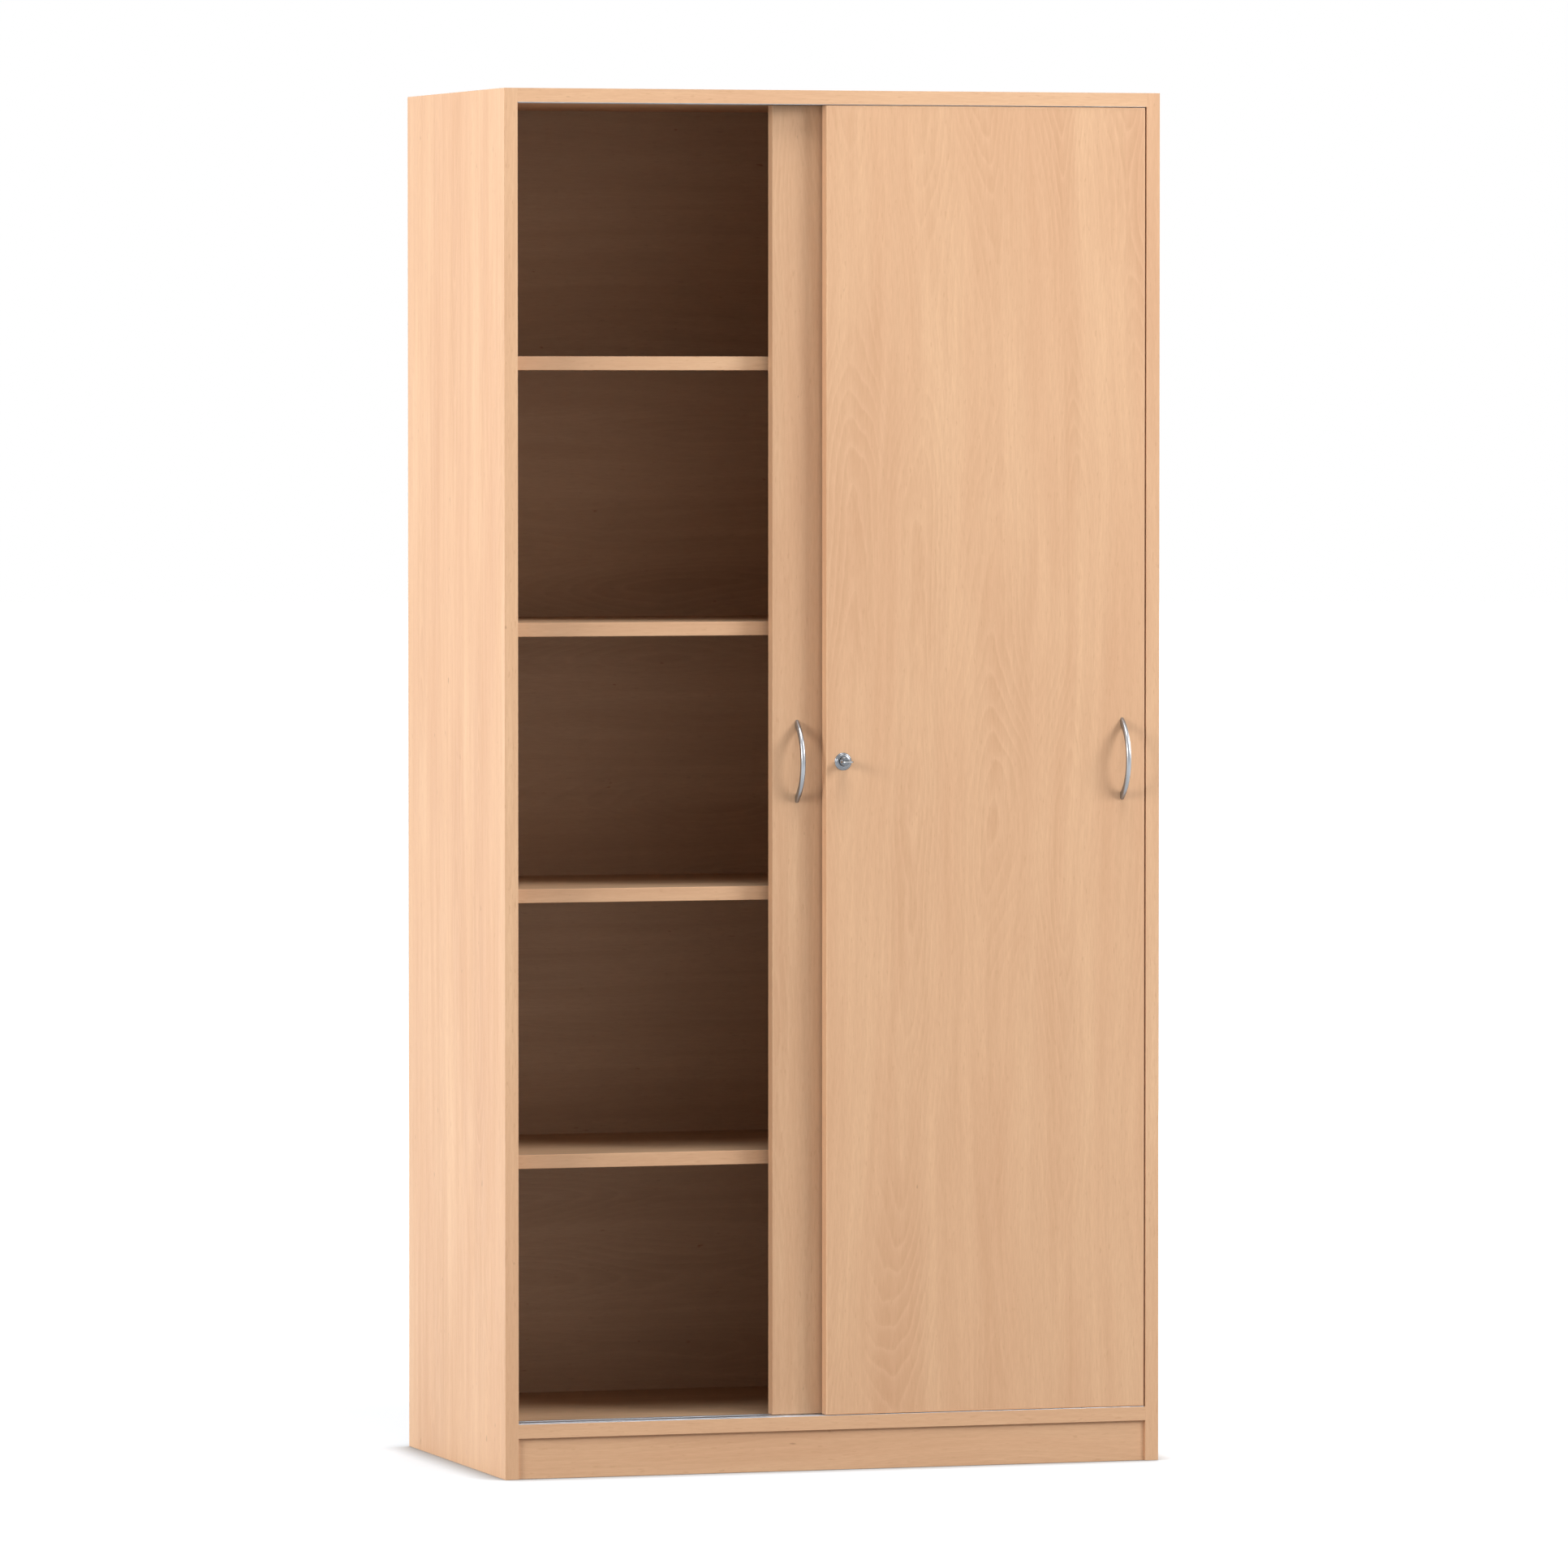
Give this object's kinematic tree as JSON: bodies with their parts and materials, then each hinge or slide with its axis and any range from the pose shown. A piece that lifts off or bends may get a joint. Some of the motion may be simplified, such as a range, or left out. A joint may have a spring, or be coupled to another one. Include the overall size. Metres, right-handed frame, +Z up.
{
  "type": "sliding door cabinet",
  "caption": "Tall beech-effect board cabinet: adjustable shelves behind overlapping sliding doors on aluminium tracks, with bow handles and a push-cylinder lock.",
  "frame": {"origin": "on the floor, under the middle of the box round the whole cabinet, handles included", "axes": "+Z up, +X to the right facing the doors, +Y from the doors to the back"},
  "size_m": [0.944, 0.53, 1.9],
  "materials": {
    "carcass_board": "beech-effect melamine, satin",
    "door_board": "beech-effect melamine, satin",
    "back_board": "beech-effect melamine, matt",
    "dowel": "plain beech",
    "track": "natural anodised",
    "handle": "satin silver",
    "lock": "satin nickel",
    "key": "nickel plated",
    "fittings": "zinc plated",
    "spring": "bare spring steel",
    "white_plastic": "moulded acetal",
    "buffer": "clear soft silicone"
  },
  "bodies": {
    "carcass": {"left_side": "carcass_board", "right_side": "carcass_board", "top_panel": "carcass_board", "bottom_panel": "carcass_board", "plinth": "carcass_board", "back_panel": "back_board", "shelf_1": "carcass_board", "shelf_2": "carcass_board", "shelf_3": "carcass_board", "shelf_4": "carcass_board", "shelf_supports": "fittings", "cam_locks": "fittings", "cam_bolts": "fittings", "wood_dowels": "dowel", "door_buffers": "buffer", "lower_track": "track", "upper_track": "track", "track_screws": "fittings"},
    "front_door": {"front_door_panel": "door_board", "front_handle": "handle", "front_handle_screws": "fittings", "front_roller_housings": "white_plastic", "front_roller_axles": "fittings", "front_guide_sleeves": "white_plastic", "front_guide_spring_left": "spring", "front_guide_spring_right": "spring", "lock_housing": "lock", "lock_back_plate": "fittings", "lock_screws": "fittings", "lock_spring": "spring"},
    "rear_door": {"rear_door_panel": "door_board", "rear_handle": "handle", "rear_handle_screws": "fittings", "rear_roller_housings": "white_plastic", "rear_roller_axles": "fittings", "rear_guide_sleeves": "white_plastic", "rear_guide_spring_left": "spring", "rear_guide_spring_right": "spring", "strike_plate": "fittings", "strike_screws": "fittings"},
    "lock_plunger": {"lock_plunger": "lock"},
    "lock_core": {"lock_core": "lock"},
    "key": {"key": "key"},
    "front_wheel_left": {"front_wheel_left": "white_plastic"},
    "front_guide_pin_left": {"front_guide_pin_left": "white_plastic"},
    "front_wheel_right": {"front_wheel_right": "white_plastic"},
    "front_guide_pin_right": {"front_guide_pin_right": "white_plastic"},
    "rear_wheel_left": {"rear_wheel_left": "white_plastic"},
    "rear_guide_pin_left": {"rear_guide_pin_left": "white_plastic"},
    "rear_wheel_right": {"rear_wheel_right": "white_plastic"},
    "rear_guide_pin_right": {"rear_guide_pin_right": "white_plastic"}
  },
  "joints": [
    {"name": "front_door_slide", "type": "slide", "parent": "carcass", "child": "front_door", "axis": [1, 0, 0], "range_m": [-0.369, 0]},
    {"name": "rear_door_slide", "type": "slide", "parent": "front_door", "child": "rear_door", "axis": [-1, 0, 0], "range_m": [-0.03, 0.369]},
    {"name": "front_wheel_left_spin", "type": "hinge", "parent": "front_door", "child": "front_wheel_left", "pos_m": [0.048, -0.224, 0.0805], "axis": [0, 1, 0], "range_deg": [-2360, 10]},
    {"name": "front_guide_pin_left_press", "type": "slide", "parent": "front_door", "child": "front_guide_pin_left", "axis": [0, 0, -1], "range_m": [0, 0.0073], "stiffness_N_per_m": 400, "springref_m": -0.004, "deforming": ["front_guide_spring_left"]},
    {"name": "front_wheel_right_spin", "type": "hinge", "parent": "front_door", "child": "front_wheel_right", "pos_m": [0.391, -0.224, 0.0805], "axis": [0, 1, 0], "range_deg": [-2360, 10]},
    {"name": "front_guide_pin_right_press", "type": "slide", "parent": "front_door", "child": "front_guide_pin_right", "axis": [0, 0, -1], "range_m": [0, 0.0073], "stiffness_N_per_m": 400, "springref_m": -0.004, "deforming": ["front_guide_spring_right"]},
    {"name": "rear_wheel_left_spin", "type": "hinge", "parent": "rear_door", "child": "rear_wheel_left", "pos_m": [-0.022, -0.199, 0.0805], "axis": [0, 1, 0], "range_deg": [-2360, 200]},
    {"name": "rear_guide_pin_left_press", "type": "slide", "parent": "rear_door", "child": "rear_guide_pin_left", "axis": [0, 0, -1], "range_m": [0, 0.0073], "stiffness_N_per_m": 400, "springref_m": -0.004, "deforming": ["rear_guide_spring_left"]},
    {"name": "rear_wheel_right_spin", "type": "hinge", "parent": "rear_door", "child": "rear_wheel_right", "pos_m": [0.345, -0.199, 0.0805], "axis": [0, 1, 0], "range_deg": [-2360, 200]},
    {"name": "rear_guide_pin_right_press", "type": "slide", "parent": "rear_door", "child": "rear_guide_pin_right", "axis": [0, 0, -1], "range_m": [0, 0.0073], "stiffness_N_per_m": 400, "springref_m": -0.004, "deforming": ["rear_guide_spring_right"]},
    {"name": "lock_push", "type": "slide", "parent": "front_door", "child": "lock_plunger", "axis": [0, 1, 0], "range_m": [0, 0.0055], "stiffness_N_per_m": 400, "springref_m": -0.004, "deforming": ["lock_spring"]},
    {"name": "lock_turn", "type": "hinge", "parent": "lock_plunger", "child": "lock_core", "pos_m": [0.0123, -0.2335, 0.9777], "axis": [0, 1, 0], "range_deg": [0, 90]},
    {"name": "key_pull", "type": "slide", "parent": "lock_core", "child": "key", "axis": [0, -1, 0], "range_m": [0, 0.03]}
  ],
  "couplings": [
    {"joint": "front_wheel_left_spin", "follows": "front_door_slide", "rad_per_m": 111.11},
    {"joint": "front_wheel_right_spin", "follows": "front_door_slide", "rad_per_m": 111.11},
    {"joint": "rear_wheel_left_spin", "follows": "rear_door_slide", "rad_per_m": -111.11},
    {"joint": "rear_wheel_right_spin", "follows": "rear_door_slide", "rad_per_m": -111.11}
  ]
}
